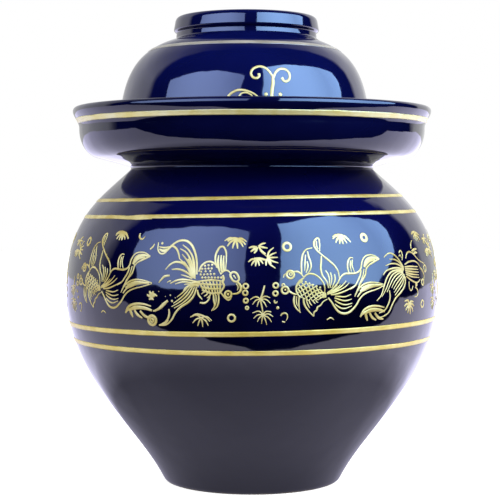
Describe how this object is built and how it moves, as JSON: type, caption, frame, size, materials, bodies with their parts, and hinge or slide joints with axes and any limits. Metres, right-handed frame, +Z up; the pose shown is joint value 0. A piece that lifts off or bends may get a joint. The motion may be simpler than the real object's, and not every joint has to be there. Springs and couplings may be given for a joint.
{
  "type": "water seal pickle jar",
  "caption": "Round-bellied glazed stoneware pickle jar with a water trough round its neck, an inverted-bowl cover that stands in the trough as a water seal, and a small inner lid.",
  "frame": {"origin": "centre of the foot, on the table", "axes": "+Z up through the mouth, -Y towards the side that the picture shows, +X to the right in the picture"},
  "size_m": [0.24, 0.24, 0.2993],
  "materials": {
    "cobalt_glaze": "glossy cobalt blue glaze on stoneware",
    "fired_gold": "satin fired gold line"
  },
  "bodies": {
    "jar": {"jar_body": "cobalt_glaze", "water_trough": "cobalt_glaze", "gilt_band_trough": "fired_gold", "gilt_bands_shoulder": "fired_gold", "gilt_bands_belly": "fired_gold"},
    "inner_lid": {"inner_lid": "cobalt_glaze", "inner_lid_knob": "cobalt_glaze"},
    "cover": {"cover_bowl": "cobalt_glaze", "cover_foot_ring": "cobalt_glaze", "gilt_band_cover": "fired_gold"}
  },
  "joints": [
    {"name": "inner_lid_lift", "type": "slide", "parent": "jar", "child": "inner_lid", "axis": [0, 0, 1], "range_m": [0, 0.12]},
    {"name": "cover_lift", "type": "slide", "parent": "inner_lid", "child": "cover", "axis": [0, 0, 1], "range_m": [0, 0.15]}
  ]
}
